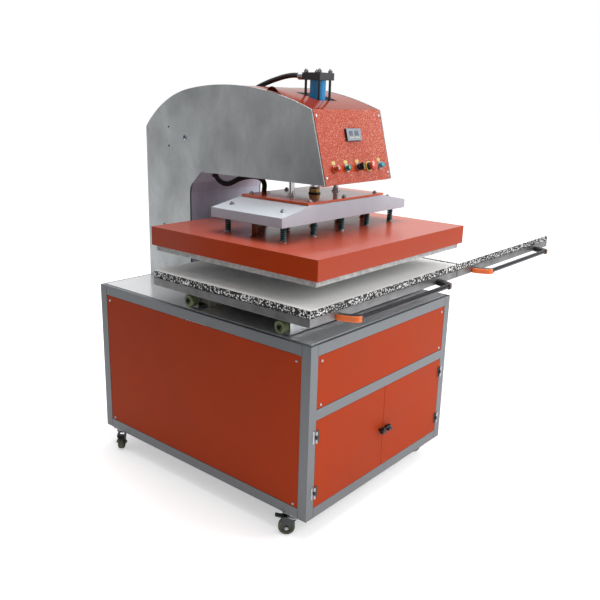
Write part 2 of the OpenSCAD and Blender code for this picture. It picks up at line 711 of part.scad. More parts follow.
// folded steel beam: flat middle, sloping shoulders, open underneath
beam_t = 5;
module beam_profile(e) polygon([
    [-beam_w / 2 + e, beam_z - e], [-beam_w / 2 + e, beam_z + beam_end_h - e],
    [-flat_w / 2 + e / 2, beam_z + beam_h - e], [flat_w / 2 - e / 2, beam_z + beam_h - e],
    [beam_w / 2 - e, beam_z + beam_end_h - e], [beam_w / 2 - e, beam_z - e]]);
module beam() color("lightsteelblue") {
    difference() {
        along_y(py - beam_d / 2, py + beam_d / 2) beam_profile(0);
        along_y(py - beam_d / 2 + beam_t, py + beam_d / 2 - beam_t) beam_profile(beam_t);
    }
    box(-beam_w / 2, beam_w / 2, py - beam_d / 2, py + beam_d / 2, beam_z, beam_z + beam_t);
}
bolt_in = 36;
slope_x = 336;
slope_a = atan2(beam_h - beam_end_h, (beam_w - flat_w) / 2);
slope_bolt_z = beam_z + beam_h - (slope_x - flat_w / 2) * tan(slope_a);
module bolt(af, h) {
    cylinder(r = af * 0.75, h = 2);
    translate([0, 0, 1.5]) cylinder(r = af / 2 / cos(30), h = h, $fn = 6);
    cylinder(r = af * 0.3, h = h + 4);
}
module beam_bolts() color("silver") {
    for (x = [-ram_w / 2 + bolt_in, 0, ram_w / 2 - bolt_in], y = [-1, 1])
        translate([x, py + y * (ram_d / 2 - 20), ram_z + ram_t]) bolt(13, 6);
    for (s = [-1, 1], y = [-1, 1])
        translate([s * slope_x, py + y * 128, slope_bolt_z + 0.6]) rotate([0, s * slope_a, 0])
            bolt(13, 4.5);
}

spring_dx = 172.5;
spring_dy = 140;
module spring_places()
    for (x = [-2 : 2], y = [-1, 1]) translate([x * spring_dx, py + y * spring_dy, 0]) children();
module springs() color("darkslategray") spring_places() difference() {
    rod(0, 0, cover_top + 3, beam_z, 12);
    rod(0, 0, cover_top + 2, beam_z + 1, 8);
}
module spring_studs() color("silver") {
    spring_places() {
        rod(0, 0, cover_top, cover_top + 3, 13.5);
        rod(0, 0, cover_top, beam_z, 6);
    }
    for (x = [-2 : 2]) rod(x * spring_dx, py, cover_top, beam_z, 11);
    // the conduit's gland
    rod(-66, front + 606, cover_top, cover_top + 16, 17);
    rod(-66, front + 606, cover_top + 15, tbl + conduit_low, 13);
}

module heater_cover() color("orangered") difference() {
    box(-cover_w / 2, cover_w / 2, py - cover_d / 2, py + cover_d / 2, cover_z, cover_top);
    box(-cover_w / 2 + 2, cover_w / 2 - 2, py - cover_d / 2 + 2, py + cover_d / 2 - 2,
        cover_z + 2, cover_top - 3);
    box(-heater_w / 2 + 30, heater_w / 2 - 30, py - heater_d / 2 + 30, py + heater_d / 2 - 30,
        cover_z - 1, cover_z + 3);
}
module heating_plate() color("silver") {
    box(-heater_w / 2, heater_w / 2, py - heater_d / 2, py + heater_d / 2, plate_z, cover_z);
    box(-heater_w / 2 + 31, heater_w / 2 - 31, py - heater_d / 2 + 31, py + heater_d / 2 - 31,
        cover_z, cover_z + 45);
}

// flexible conduit from the column to the heater, with a slack loop for the stroke
conduit_r = 11;
conduit_low = 340;                  // its lower end, on the heater's gland, above the table
conduit = [
    [-124, 834, 484], [-124, 820.5, 469.2], [-123, 813, 462], [-121, 803, 455], [-118.5, 791, 450.3],
    [-115, 777, 448.3], [-111.5, 763, 450], [-108.5, 750, 454.5], [-105, 737, 461.3],
    [-101.5, 724, 469], [-97, 709, 475.6], [-92, 693, 481], [-86, 674, 485.3], [-80, 655, 487.3],
    [-74.5, 637, 486.8], [-71, 622, 482.8], [-68.5, 611, 475.5], [-67, 604, 466], [-66.2, 601, 454],
    [-66, 602.5, 440], [-66, 605, 424], [-66, 606, 404], [-66, 606, 372], [-66, 606, conduit_low]
];
module heater_conduit() color("black") sweep(conduit, conduit_r, 10);

// ---------------------------------------------------------------- small fasteners

// a pan head on the panel's face, 3 mm out from where it is placed
module pan_screw()
    translate([0, 0, 3]) rotate_extrude() polygon([[0, 0], [5.5, 0], [4.5, 2.4], [0, 3]]);
module panel_screws() color("silver") {
    edge = 23;
    for (s = [-1, 1], z = [caster_h + tube + 12, tbl - tube - edge]) {
        for (y = [front + tube + edge, rear - tube - edge])
            translate([s * (cab_w / 2 - 4), y, z]) rotate([0, s * 90, 0]) pan_screw();
        translate([s * (cab_w / 2 - tube - edge), rear - 4, z]) rotate([-90, 0, 0]) pan_screw();
    }
    for (s = [-1, 1], z = [tbl - tube - edge, tbl - tube - upper_h + 14])
        translate([s * (cab_w / 2 - tube - edge), front + 4, z]) rotate([90, 0, 0]) pan_screw();
    for (s = [-1, 1], y = [26, 250])
        panel_frame() translate([s * (half - 12), y, panel_t - 3]) pan_screw();
}

// ---------------------------------------------------------------- parts shown

cabinet_frame();
cabinet_panels();
floor_shelf();
table_top();
panel_screws();
frame_hinge_leaves();
caster_plates();
slide_blocks();
side_plates();
head_base_plate();
column_covers();
top_cover();
control_panel();
display();
indicator_lamp();
button_collars();
cylinder_tube();
cylinder_ends();
hydraulic_hoses();
oil_tank();
pump_unit();
electrics_box();
cable_glands();
piston_rod();
piston_nuts();
guide_rods();
ram_plate();
beam();
beam_bolts();
springs();
spring_studs();
heater_cover();
heating_plate();
heater_conduit();
slide_channels();
end_buffers();
platens();
pads();
handle_bars();
handle_brackets();
left_door();
right_door();
left_door_fittings();
right_door_fittings();
green_button();
selector_knob();
estop_button();
teal_button();
at_caster(0) fork();  // fork_front_left
at_caster(1) fork();  // fork_front_right
at_caster(2) fork();  // fork_rear_left
at_caster(3) fork();  // fork_rear_right
at_caster(0) wheel();  // wheel_front_left
at_caster(1) wheel();  // wheel_front_right
at_caster(2) wheel();  // wheel_rear_left
at_caster(3) wheel();  // wheel_rear_right
at_caster(0) brake();  // brake_front_left
at_caster(1) brake();  // brake_front_right
at_caster(2) brake();  // brake_rear_left
at_caster(3) brake();  // brake_rear_right
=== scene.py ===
import json
import math

import bmesh
import bpy
from mathutils import Matrix, Vector, noise

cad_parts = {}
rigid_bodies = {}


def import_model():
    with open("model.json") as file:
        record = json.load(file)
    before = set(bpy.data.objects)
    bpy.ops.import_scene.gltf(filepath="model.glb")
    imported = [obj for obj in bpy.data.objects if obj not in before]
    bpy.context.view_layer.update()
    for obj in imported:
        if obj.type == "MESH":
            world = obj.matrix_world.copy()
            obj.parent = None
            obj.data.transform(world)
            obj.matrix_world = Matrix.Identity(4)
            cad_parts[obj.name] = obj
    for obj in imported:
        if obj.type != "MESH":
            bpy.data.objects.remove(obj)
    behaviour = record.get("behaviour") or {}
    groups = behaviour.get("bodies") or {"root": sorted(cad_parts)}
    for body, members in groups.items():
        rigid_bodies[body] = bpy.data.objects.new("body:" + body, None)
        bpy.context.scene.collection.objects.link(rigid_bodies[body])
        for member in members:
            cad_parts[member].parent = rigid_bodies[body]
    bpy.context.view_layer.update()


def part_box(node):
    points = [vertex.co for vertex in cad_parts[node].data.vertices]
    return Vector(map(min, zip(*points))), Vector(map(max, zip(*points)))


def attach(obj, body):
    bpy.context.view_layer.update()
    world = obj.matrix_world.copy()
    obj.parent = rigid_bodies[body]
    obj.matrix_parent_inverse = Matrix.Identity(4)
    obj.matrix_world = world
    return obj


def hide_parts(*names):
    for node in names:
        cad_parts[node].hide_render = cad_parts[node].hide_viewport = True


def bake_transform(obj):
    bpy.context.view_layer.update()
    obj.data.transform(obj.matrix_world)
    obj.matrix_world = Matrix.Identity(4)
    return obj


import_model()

# ------------------------------------------------------------------ camera

AZ, EL, ROLL = math.radians(-50.37), math.radians(15.7353), math.radians(1.5972)
CAMERA_AT = (-2.2375, -1.9975, 1.5572)
FOCAL_PX, IMAGE_PX, SENSOR_MM = 712.94, 600, 36
look = Vector((-math.sin(AZ) * math.cos(EL), math.cos(AZ) * math.cos(EL), -math.sin(EL)))
right = look.cross(Vector((0, 0, 1))).normalized()
up = right.cross(look)
right, up = (math.cos(ROLL) * right + math.sin(ROLL) * up,
             -math.sin(ROLL) * right + math.cos(ROLL) * up)
cam_data = bpy.data.cameras.new("camera")
cam_data.sensor_width = SENSOR_MM
cam_data.lens = FOCAL_PX / IMAGE_PX * SENSOR_MM
camera = bpy.data.objects.new("camera", cam_data)
bpy.context.collection.objects.link(camera)
turn = Matrix((right, up, -look)).transposed().to_4x4()
camera.matrix_world = Matrix.Translation(CAMERA_AT) @ turn
bpy.context.scene.camera = camera
bpy.context.scene.view_settings.view_transform = "Standard"

# ------------------------------------------------------------------ materials


def shader(name):
    m = bpy.data.materials.new(name)
    m.use_nodes = True
    t = m.node_tree
    t.nodes.clear()
    out = t.nodes.new("ShaderNodeOutputMaterial")
    b = t.nodes.new("ShaderNodeBsdfPrincipled")
    t.links.new(b.outputs["BSDF"], out.inputs["Surface"])
    return m, t, b


def coords(t, stretch=(1, 1, 1)):
    c = t.nodes.new("ShaderNodeTexCoord")
    s = t.nodes.new("ShaderNodeMapping")
    s.inputs["Scale"].default_value = stretch
    t.links.new(c.outputs["Object"], s.inputs["Vector"])
    return s.outputs["Vector"]


def tex_noise(t, vec, scale, detail=4.0, rough=0.55, distort=0.0):
    n = t.nodes.new("ShaderNodeTexNoise")
    n.inputs["Scale"].default_value = scale
    n.inputs["Detail"].default_value = detail
    n.inputs["Roughness"].default_value = rough
    n.inputs["Distortion"].default_value = distort
    t.links.new(vec, n.inputs["Vector"])
    return n.outputs["Fac"]


def tex_cells(t, vec, scale, feature):
    n = t.nodes.new("ShaderNodeTexVoronoi")
    n.feature = feature
    n.inputs["Scale"].default_value = scale
    t.links.new(vec, n.inputs["Vector"])
    return n.outputs["Distance"]


def ramp(t, fac, stops):
    r = t.nodes.new("ShaderNodeValToRGB")
    e = r.color_ramp.elements
    while len(e) < len(stops):
        e.new(0.5)
    for i, (p, c) in enumerate(stops):
        e[i].position = p
        e[i].color = (c, c, c, 1) if isinstance(c, (int, float)) else (*c, 1)
    t.links.new(fac, r.inputs["Fac"])
    return r.outputs["Color"]


def span(t, fac, lo, hi, a=0.3, b=0.7):
    r = t.nodes.new("ShaderNodeMapRange")
    r.inputs["From Min"].default_value, r.inputs["From Max"].default_value = a, b
    r.inputs["To Min"].default_value, r.inputs["To Max"].default_value = lo, hi
    t.links.new(fac, r.inputs["Value"])
    return r.outputs["Result"]


def mixed(t, fac, a, b, how="MIX"):
    m = t.nodes.new("ShaderNodeMix")
    m.data_type, m.blend_type = "RGBA", how
    for v, s in ((fac, 0), (a, 6), (b, 7)):
        sock = m.inputs[s]
        if isinstance(v, (int, float)):
            sock.default_value = v
        elif isinstance(v, tuple):
            sock.default_value = (*v, 1)
        else:
            t.links.new(v, sock)
    return m.outputs[2]


def bumped(t, b, height, strength, dist, edge=0.0):
    n = t.nodes.new("ShaderNodeBump")
    n.inputs["Strength"].default_value = strength
    n.inputs["Distance"].default_value = dist
    t.links.new(height, n.inputs["Height"])
    if edge:
        e = t.nodes.new("ShaderNodeBevel")
        e.samples = 4
        e.inputs["Radius"].default_value = edge
        t.links.new(e.outputs["Normal"], n.inputs["Normal"])
    t.links.new(n.outputs["Normal"], b.inputs["Normal"])


def facing(t, axis):
    """How far the surface faces along X, Y or Z."""
    g, sep = t.nodes.new("ShaderNodeNewGeometry"), t.nodes.new("ShaderNodeSeparateXYZ")
    t.links.new(g.outputs["True Normal"], sep.inputs["Vector"])
    return sep.outputs[axis]


def shade(k, c):
    return tuple(min(1.0, v * k) for v in c)


def coated(name, col, rough=0.35, metal=0.0, coat=0.0, peel=0.25, grain=900, patch=3.0,
           var=0.10, edge=0.0012, spec=0.5, stretch=(1, 1, 1), painted_top_light=0.0):
    """Painted, moulded or plated surface: slow patches of tone, fine mottle and orange-peel bump;
    the last argument is how much painted highlight, a pale wash standing in for light from
    above, lies on its upward faces."""
    m, t, b = shader(name)
    v = coords(t, stretch)
    slow = tex_noise(t, v, patch, 3)
    fine = tex_noise(t, v, grain * 0.35, 2)
    tone = ramp(t, slow, [(0.3, shade(1 - var, col)), (0.7, shade(1 + var, col))])
    col2 = mixed(t, span(t, fine, 0.0, 0.35), tone, shade(1 - 1.5 * var, col))
    # painted highlight: upward faces are washed towards pale grey as if lit from above
    if painted_top_light:
        top_light_mask = span(t, facing(t, "Z"), 0.0, painted_top_light, 0.5, 0.9)
        col2 = mixed(t, top_light_mask, col2, (0.80, 0.80, 0.80))
    t.links.new(col2, b.inputs["Base Color"])
    t.links.new(span(t, slow, max(0.03, rough - 0.06), rough + 0.08), b.inputs["Roughness"])
    b.inputs["Metallic"].default_value = metal
    b.inputs["Coat Weight"].default_value = coat
    b.inputs["Coat Roughness"].default_value = 0.06
    b.inputs["Specular IOR Level"].default_value = spec
    bumped(t, b, tex_noise(t, v, grain, 2), peel, 0.0006, edge)
    return m


def metal_sheet(name, col, rough=0.3, along=(1, 1, 1), cloud=6.0, var=0.12, edge=0.0012,
                front=0.0, tall=1.0):
    """Bare metal: brushed lines along the stretched axis and cloudy tone; front paints shade on the
    faces that look forward, darkening them, and tall stretches the clouds up and down."""
    m, t, b = shader(name)
    brushed = tex_noise(t, coords(t, along), 260, 5, 0.65)
    slow = tex_noise(t, coords(t, (1, 1, tall)), cloud, 4, 0.55, 0.25)
    tone = ramp(t, slow, [(0.28, shade(1 - var, col)), (0.5, col), (0.72, shade(1 + var, col))])
    tone = mixed(t, span(t, brushed, 0.0, 0.30), tone, shade(0.72, col))
    # painted shade: faces that look forward are darkened to front times the colour
    if front:
        front_shade_mask = span(t, facing(t, "Y"), 1.0, 0.0, -0.9, -0.6)
        tone = mixed(t, front_shade_mask, tone, shade(front, col))
    t.links.new(tone, b.inputs["Base Color"])
    t.links.new(span(t, brushed, rough - 0.07, rough + 0.12), b.inputs["Roughness"])
    b.inputs["Metallic"].default_value = 1.0
    bumped(t, b, brushed, 0.18, 0.0004, edge)
    return m


ORANGE = (0.40, 0.044, 0.009)
M = {}
M["frame"] = coated("paint_frame_grey", (0.195, 0.207, 0.22), 0.42, metal=0.50, var=0.07, grain=700)
M["orange"] = coated("paint_panel_orange", ORANGE, 0.48, spec=0.07, grain=800, var=0.06)
M["gloss_orange"] = coated("paint_gloss_orange", (0.20, 0.023, 0.006), 0.12, spec=0.09, peel=0.06,
                           grain=260, var=0.05)
# heater cover paint, with a faint painted highlight on its upward faces
M["cover_orange"] = coated("paint_heater_orange", (0.40, 0.042, 0.008), 0.17, spec=0.20, peel=0.06,
                           grain=260, var=0.05, painted_top_light=0.05)
M["ram_orange"] = coated("paint_ram_orange", (0.58, 0.075, 0.018), 0.13, coat=0.3, peel=0.05,
                         grain=260, var=0.05)
M["shelf"] = coated("paint_shelf_grey", (0.10, 0.105, 0.11), 0.5)
M["table"] = coated("steel_table", (0.84, 0.85, 0.87), 0.20, metal=0.55, peel=0.04, patch=3,
                    var=0.05)
M["zinc"] = metal_sheet("zinc_plate", (0.46, 0.47, 0.49), 0.30, cloud=40, var=0.10)
# galvanised sheet, with painted shade on its forward faces
M["galv"] = metal_sheet("galvanised_sheet", (0.52, 0.54, 0.55), 0.36, (1, 1, 0.4), 8.0, 0.24,
                        front=0.32, tall=0.7)
M["bolt"] = metal_sheet("dark_bolt", (0.42, 0.42, 0.43), 0.20, cloud=60, var=0.2)
M["poly"] = coated("bearing_polymer", (0.62, 0.59, 0.50), 0.5, grain=500)
M["head"] = coated("paint_head", (0.17, 0.175, 0.19), 0.42)
M["cover"] = coated("paint_cover_grey", (0.58, 0.66, 0.82), 0.32, coat=0.2, patch=7, var=0.12,
                    stretch=(2, 1, 0.5))
M["blue"] = coated("paint_cylinder_blue", (0.012, 0.27, 0.64), 0.18, coat=0.6, peel=0.08, var=0.08)
M["black_paint"] = coated("paint_black", (0.018, 0.019, 0.022), 0.30, coat=0.3, grain=500, var=0.2)
M["tank"] = coated("paint_tank_blue", (0.02, 0.08, 0.22), 0.3, coat=0.3)
M["iron"] = coated("cast_iron", (0.06, 0.06, 0.065), 0.55, metal=0.3, peel=0.7, grain=300)
M["box"] = coated("paint_box_grey", (0.42, 0.43, 0.43), 0.45)
M["black"] = coated("moulded_black", (0.012, 0.012, 0.014), 0.38, peel=0.35, grain=1200, var=0.25)
M["chrome"] = metal_sheet("hard_chrome", (0.82, 0.83, 0.86), 0.07, (1, 1, 0.05), 20, 0.04,
                          edge=0.0006)
M["brass"] = metal_sheet("brass", (0.62, 0.42, 0.16), 0.24, cloud=60, var=0.14)
# beam paint, with a painted highlight washing its upward faces pale
M["beam"] = coated("paint_beam_grey", (0.46, 0.50, 0.57), 0.30, coat=0.15, patch=2.0, var=0.12,
                   painted_top_light=0.30)
M["spring"] = coated("spring_steel", (0.014, 0.10, 0.105), 0.34, metal=0.2, coat=0.2, var=0.25,
                     patch=60)
M["plate"] = metal_sheet("milled_aluminium", (0.25, 0.25, 0.255), 0.40, (0.04, 1, 1), 14.0, 0.30)
M["rough_plate"] = coated("cast_aluminium", (0.46, 0.46, 0.46), 0.50, metal=0.3, peel=0.6,
                          grain=300, patch=60, var=0.35)
M["channel"] = metal_sheet("channel_steel", (0.55, 0.56, 0.58), 0.36, (0.05, 1, 1), 8.0, 0.15)
M["olive"] = coated("urethane_olive", (0.15, 0.18, 0.075), 0.42, peel=0.3, patch=30, var=0.16)
M["bar"] = metal_sheet("dark_bar", (0.050, 0.052, 0.060), 0.16, (0.02, 1, 1), 30, 0.10, edge=0)
M["bracket"] = coated("moulded_orange", (0.86, 0.17, 0.03), 0.33, peel=0.2, patch=20, var=0.05)
M["fork"] = coated("dark_zinc", (0.07, 0.075, 0.08), 0.36, metal=0.6, patch=30, var=0.25)
M["tread"] = coated("urethane_tread", (0.10, 0.105, 0.065), 0.45, peel=0.3, patch=40, var=0.18)
M["green"] = coated("button_green", (0.005, 0.16, 0.09), 0.22, coat=0.5, peel=0.03, patch=90)
M["red"] = coated("button_red", (0.55, 0.055, 0.020), 0.24, coat=0.5, peel=0.03, patch=90)
M["lamp"] = coated("lamp_red", (0.40, 0.060, 0.022), 0.16, coat=0.5, peel=0.03, patch=120)
M["teal"] = coated("button_teal", (0.03, 0.30, 0.36), 0.22, coat=0.5, peel=0.03, patch=90)
M["yellow"] = coated("ring_yellow", (0.72, 0.52, 0.06), 0.4, peel=0.1, patch=150)
M["legend"] = coated("legend_yellow", (0.60, 0.46, 0.13), 0.4, peel=0.1, patch=150)
M["bezel"] = coated("bezel_grey", (0.20, 0.25, 0.30), 0.35, peel=0.15, patch=60)
M["window"] = coated("display_window", (0.115, 0.120, 0.150), 0.15, coat=0.4, peel=0.02, patch=90)
M["cream"] = coated("key_cream", (0.62, 0.56, 0.30), 0.4, patch=120)
M["pill"] = coated("smooth_orange", (0.46, 0.040, 0.006), 0.34, spec=0.10, peel=0.04, var=0.04)
# middle pillars: dark orange-brown, partly their own paint and partly painted shade from under the
# beam
M["pillar"] = metal_sheet("pillar_orange_brown_and_shade", (0.15, 0.06, 0.035), 0.33, (1, 1, 0.1), 30, 0.2)
M["hose"] = coated("hose_rubber", (0.014, 0.014, 0.016), 0.42, peel=0.5, grain=700, var=0.2)
M["seam"] = coated("weld_line", (0.09, 0.10, 0.11), 0.6, patch=60, var=0.2)


def hammer_material():
    """Hammer-finish enamel: orange cells with pale flecks, denser to the right."""
    m, t, b = shader("paint_hammer_orange")
    v = coords(t)
    cells = tex_cells(t, v, 130, "F1")
    crack = tex_cells(t, v, 150, "DISTANCE_TO_EDGE")
    slow = tex_noise(t, v, 7, 4)
    fleck = tex_noise(t, v, 250, 3, 0.7)
    base = ramp(t, cells, [(0.0, (0.42, 0.046, 0.010)), (0.55, (0.35, 0.036, 0.009)),
                           (1.0, (0.46, 0.08, 0.036))])
    sep = t.nodes.new("ShaderNodeSeparateXYZ")
    t.links.new(v, sep.inputs["Vector"])
    side = span(t, sep.outputs["X"], -0.10, 0.20, -0.2, 0.2)
    add = t.nodes.new("ShaderNodeMath")
    add.operation = "ADD"
    t.links.new(side, add.inputs[0])
    t.links.new(span(t, fleck, -0.75, 0.80, 0.42, 0.62), add.inputs[1])
    add.use_clamp = True
    col = mixed(t, add.outputs[0], base, (0.64, 0.33, 0.28))
    col = mixed(t, span(t, slow, 0.0, 0.25), col, (0.36, 0.042, 0.018))
    t.links.new(col, b.inputs["Base Color"])
    b.inputs["Roughness"].default_value = 0.34
    b.inputs["Specular IOR Level"].default_value = 0.16
    bumped(t, b, crack, 0.5, 0.0010)
    return m


def granule_material():
    """Crushed silicone granules, black and white, about 5 mm across."""
    m, t, b = shader("foam_granules")
    v = coords(t)
    warp = tex_noise(t, v, 300, 2)
    cells = t.nodes.new("ShaderNodeTexVoronoi")
    cells.inputs["Scale"].default_value = 215
    t.links.new(v, cells.inputs["Vector"])
    sep = t.nodes.new("ShaderNodeSeparateColor")
    t.links.new(cells.outputs["Color"], sep.inputs["Color"])
    mixed_fac = t.nodes.new("ShaderNodeMath")
    mixed_fac.operation = "MULTIPLY_ADD"
    t.links.new(warp, mixed_fac.inputs[0])
    mixed_fac.inputs[1].default_value = 0.5
    t.links.new(sep.outputs["Red"], mixed_fac.inputs[2])
    col = ramp(t, span(t, mixed_fac.outputs[0], 0, 1, 0.0, 1.4),
               [(0.0, (0.004, 0.004, 0.005)), (0.66, (0.008, 0.008, 0.009)),
                (0.695, (0.40, 0.40, 0.40)), (0.75, (0.80, 0.80, 0.79)),
                (0.88, (0.88, 0.88, 0.87))])
    t.links.new(col, b.inputs["Base Color"])
    b.inputs["Roughness"].default_value = 0.62
    bumped(t, b, cells.outputs["Distance"], 0.9, 0.0015)
    return m


def cloth_material():
    """Plain-woven white glass cloth with a faint cream cast."""
    m, t, b = shader("white_cloth")
    v = coords(t)
    weave = t.nodes.new("ShaderNodeTexWave")
    weave.inputs["Scale"].default_value = 420
    weave.inputs["Distortion"].default_value = 1.0
    t.links.new(v, weave.inputs["Vector"])
    weft = t.nodes.new("ShaderNodeTexWave")
    weft.bands_direction = "Y"
    weft.inputs["Scale"].default_value = 420
    weft.inputs["Distortion"].default_value = 1.0
    t.links.new(v, weft.inputs["Vector"])
    both = mixed(t, 0.5, weave.outputs["Color"], weft.outputs["Color"])
    slow = tex_noise(t, v, 4, 4)
    tone = ramp(t, slow, [(0.3, (0.90, 0.895, 0.88)), (0.7, (0.95, 0.95, 0.94))])
    t.links.new(mixed(t, 0.06, tone, both, "MULTIPLY"), b.inputs["Base Color"])
    b.inputs["Roughness"].default_value = 0.68
    b.inputs["Sheen Weight"].default_value = 0.15
    bumped(t, b, both, 0.25, 0.0004)
    return m


M["hammer"] = hammer_material()
M["granules"] = granule_material()
M["cloth"] = cloth_material()

FINISH = {
    "frame": ["cabinet_frame"], "orange": ["cabinet_panels", "left_door", "right_door"],
    "shelf": ["floor_shelf"], "table": ["table_top"],
    "zinc": ["panel_screws", "frame_hinge_leaves", "caster_plates", "spring_studs",
             "button_collars"], "bolt": ["beam_bolts"],
    "poly": ["slide_blocks"], "galv": ["side_plates"], "head": ["head_base_plate"],
    "cover": ["column_covers"], "gloss_orange": ["top_cover"], "cover_orange": ["heater_cover"],
    "ram_orange": ["ram_plate"], "hammer": ["control_panel"], "bezel": ["display"],
    "lamp": ["indicator_lamp"], "blue": ["cylinder_tube"], "black_paint": ["cylinder_ends"],
    "hose": ["hydraulic_hoses"], "tank": ["oil_tank"], "iron": ["pump_unit"],
    "box": ["electrics_box"], "black": ["cable_glands", "heater_conduit", "selector_knob",
                                       "left_door_fittings", "right_door_fittings"],
    "chrome": ["piston_rod", "guide_rods"], "brass": ["piston_nuts"], "beam": ["beam"],
    "spring": ["springs"], "rough_plate": ["heating_plate"], "plate": ["platens"],
    "channel": ["slide_channels"], "olive": ["end_buffers"], "cloth": ["pads"],
    "bar": ["handle_bars"], "bracket": ["handle_brackets"], "green": ["green_button"],
    "red": ["estop_button"], "teal": ["teal_button"],
}
for corner in ("front_left", "front_right", "rear_left", "rear_right"):
    for part, key in (("fork_", "fork"), ("brake_", "fork"), ("wheel_", "tread")):
        FINISH.setdefault(key, []).append(part + corner)
for key, names in FINISH.items():
    for n in names:
        for s in bpy.data.objects[n].material_slots:
            s.material = M[key]

# ------------------------------------------------------------------ mesh helpers

MM = 0.001
FRONT, TABLE = -0.594, 0.757            # the cabinet front's y and the table's z


def wrap(name, me, body, mat, angle):
    me.validate()
    me.update()
    for m in (mat if isinstance(mat, list) else [mat]):
        me.materials.append(m)
    me.polygons.foreach_set("use_smooth", [True] * len(me.polygons))
    me.set_sharp_from_angle(angle=math.radians(angle))
    ob = bpy.data.objects.new(name, me)
    bpy.context.collection.objects.link(ob)
    if body:
        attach(ob, body)
    return ob


def from_bm(name, bm, body, mat, angle=35.0):
    bmesh.ops.recalc_face_normals(bm, faces=bm.faces)
    me = bpy.data.meshes.new(name)
    bm.to_mesh(me)
    bm.free()
    return wrap(name, me, body, mat, angle)


def axes(direction):
    d = Vector(direction).normalized()
    u = d.cross(Vector((0, 0, 1)) if abs(d.z) < 0.9 else Vector((1, 0, 0))).normalized()
    return d, u, d.cross(u)


def lathe(bm, profile, origin, direction, n):
    """Revolve (radius, height) pairs, in metres, about an axis."""
    d, u, w = axes(direction)
    o = Vector(origin)
    rings = []
    for r, h in profile:
        if r < 1e-7:
            rings.append([bm.verts.new(o + d * h)])
        else:
            rings.append([bm.verts.new(o + d * h + u * (r * math.cos(2 * math.pi * k / n))
                                       + w * (r * math.sin(2 * math.pi * k / n)))
                          for k in range(n)])
    for a, b in zip(rings, rings[1:]):
        for k in range(n):
            j = (k + 1) % n
            q = [a[k % len(a)], a[j % len(a)], b[j % len(b)], b[k % len(b)]]
            q = list(dict.fromkeys(q))
            if len(q) > 2:
                bm.faces.new(q)
    for ring in (rings[0], rings[-1]):
        if len(ring) > 2:
            bm.faces.new(ring)


def round_box(bm, lo, hi, r=0.001, seg=2, place=None):
    """A box with rounded edges, optionally moved by a matrix."""
    part = bmesh.new()
    bmesh.ops.create_cube(part, size=1.0)
    size = Vector(hi) - Vector(lo)
    mid = (Vector(hi) + Vector(lo)) / 2
    for v in part.verts:
        v.co = Vector((v.co.x * size.x, v.co.y * size.y, v.co.z * size.z)) + mid
    bmesh.ops.bevel(part, geom=part.edges[:], offset=r, segments=seg, affect="EDGES", profile=0.5)
    if place is not None:
        bmesh.ops.transform(part, matrix=place, verts=part.verts)
    join(bm, part)


def join(bm, part):
    me = bpy.data.meshes.new("scratch")
    part.to_mesh(me)
    part.free()
    bm.from_mesh(me)
    bpy.data.meshes.remove(me)


def smooth_path(points, step):
    """A Catmull-Rom curve through the points, resampled evenly."""
    p = [Vector(q) for q in points]
    p = [2 * p[0] - p[1]] + p + [2 * p[-1] - p[-2]]
    dense = []
    for i in range(1, len(p) - 2):
        a, b, c, d = p[i - 1:i + 3]
        for k in range(16):
            s = k / 16
            dense.append(0.5 * ((2 * b) + (c - a) * s + (2 * a - 5 * b + 4 * c - d) * s * s
                                + (3 * b - a - 3 * c + d) * s ** 3))
    dense.append(p[-2])
    run = [0.0]
    for a, b in zip(dense, dense[1:]):
        run.append(run[-1] + (b - a).length)
    total = run[-1]
    count = max(2, round(total / step))
    out, i = [], 0
    for k in range(count + 1):
        want = total * k / count
        while i < len(run) - 2 and run[i + 1] < want:
            i += 1
        f = (want - run[i]) / max(1e-9, run[i + 1] - run[i])
        out.append(dense[i].lerp(dense[i + 1], min(1.0, f)))
    return out, total


def tube(bm, line, radius, n):
    """A tube along a line of points; radius is a number or a list, one for each point."""
    radii = radius if isinstance(radius, list) else [radius] * len(line)
    d0 = (line[1] - line[0]).normalized()
    _, u, _ = axes(d0)
    rings = []
    for i, q in enumerate(line):
        d = (line[min(i + 1, len(line) - 1)] - line[max(i - 1, 0)]).normalized()
        u = (u - d * u.dot(d)).normalized()
        w = d.cross(u)
        rings.append([bm.verts.new(q + radii[i] * (math.cos(2 * math.pi * k / n) * u
                                                  + math.sin(2 * math.pi * k / n) * w))
                      for k in range(n)])
    for a, b in zip(rings, rings[1:]):
        for k in range(n):
            j = (k + 1) % n
            bm.faces.new((a[k], a[j], b[j], b[k]))
    bm.faces.new(rings[0])
    bm.faces.new(rings[-1])


def cabinet_points(rows):
    """Points given as (x, behind the cabinet's front, above the table) in mm."""
    return [Vector((x * MM, FRONT + y * MM, TABLE + z * MM)) for x, y, z in rows]


# ------------------------------------------------------------------ conduit and hoses

CONDUIT = [
    (-124, 832.3, 482.2), (-124, 820.5, 469.2), (-123, 813, 462), (-121, 803, 455),
    (-118.5, 791, 450.3), (-115, 777, 448.3), (-111.5, 763, 450), (-108.5, 750, 454.5),
    (-105, 737, 461.3), (-101.5, 724, 469), (-97, 709, 475.6), (-92, 693, 481), (-86, 674, 485.3),
    (-80, 655, 487.3), (-74.5, 637, 486.8), (-71, 622, 482.8), (-68.5, 611, 475.5), (-67, 604, 466),
    (-66.2, 601, 454), (-66, 602.5, 440), (-66, 605, 424), (-66, 606, 404), (-66, 606, 372),
    (-66, 606, 340)]
UPPER = [
    (0, 434, 886), (0, 450, 886), (0, 475, 887.5), (0, 502, 890), (0, 530, 889), (0, 565, 884),
    (0, 600, 876), (0, 635, 867), (0, 670, 856), (0, 705, 843), (2, 740, 827), (5, 775, 807),
    (9, 810, 782), (14, 845, 752), (19, 880, 716), (24, 912, 674), (28, 938, 626), (31, 957, 574),
    (33, 970, 518), (34, 978, 460), (34, 983, 390), (34, 986, 310), (34, 988, 230), (34, 990, 150),
    (34, 990, 70), (34, 990, 0), (34, 986, -60), (34, 974, -110), (34, 952, -150), (34, 925, -178),
    (34, 896, -197), (34, 866, -206), (34, 838, -206)]
